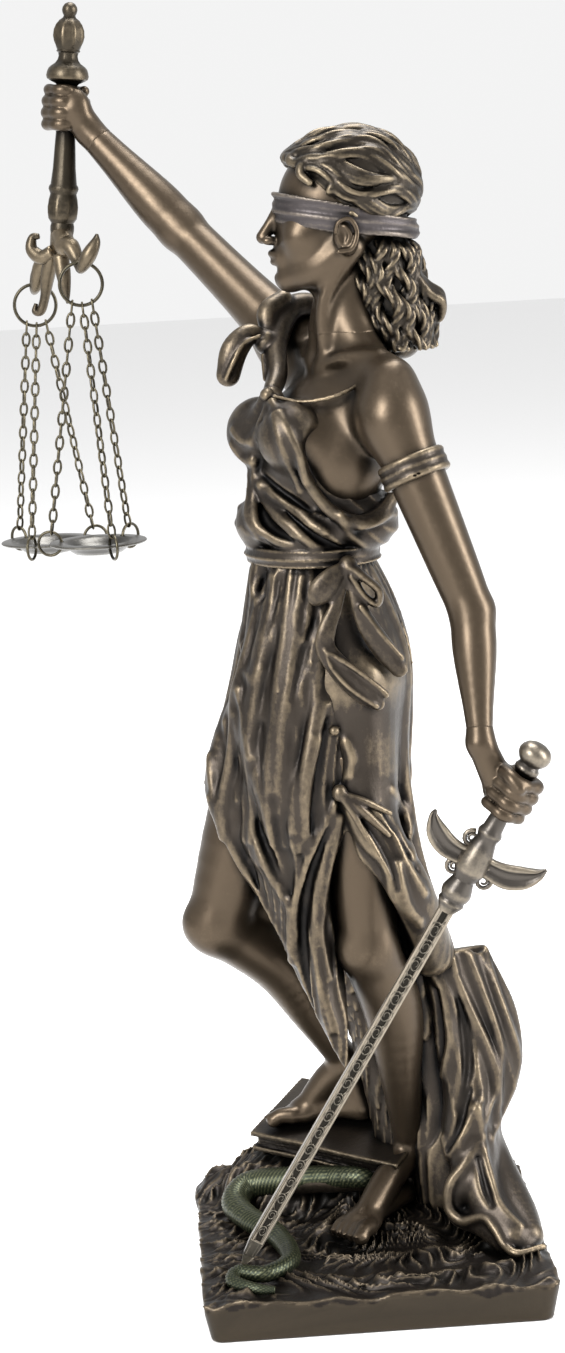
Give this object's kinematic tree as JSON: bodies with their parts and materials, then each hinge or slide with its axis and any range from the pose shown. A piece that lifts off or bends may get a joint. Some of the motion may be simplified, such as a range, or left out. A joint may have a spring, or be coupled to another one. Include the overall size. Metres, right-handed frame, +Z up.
{
  "type": "lady justice figurine",
  "caption": "Standing figurine of blindfolded Justice on a square base, with a sword resting on the ground in one hand and a hanging balance raised in the other.",
  "frame": {"origin": "centre of the plinth's flat underside", "axes": "+Z up, through her head; X and Y along the plinth's sides; she looks towards -X, and the sword hand is on the -Y side"},
  "size_m": [0.132, 0.1324, 0.3261],
  "materials": {
    "cast_bronze": "antique bronze, dark in the hollows and rubbed bright on the ridges",
    "sword_bronze": "antique bronze, dark in the engraving",
    "balance_bronze": "antique bronze, dark in the hollows",
    "hung_brass": "dark antique brass wire",
    "pan_metal": "dark satin antique metal"
  },
  "bodies": {
    "root": {"statue": "cast_bronze", "sword": "sword_bronze", "balance_beam": "balance_bronze", "ring_far": "hung_brass", "pan_far": "pan_metal", "hanger_far_1": "hung_brass", "chain_far_1": "hung_brass", "hanger_far_2": "hung_brass", "chain_far_2": "hung_brass", "hanger_far_3": "hung_brass", "chain_far_3": "hung_brass", "ring_near": "hung_brass", "pan_near": "pan_metal", "hanger_near_1": "hung_brass", "chain_near_1": "hung_brass", "hanger_near_2": "hung_brass", "chain_near_2": "hung_brass", "hanger_near_3": "hung_brass", "chain_near_3": "hung_brass"}
  },
  "joints": []
}
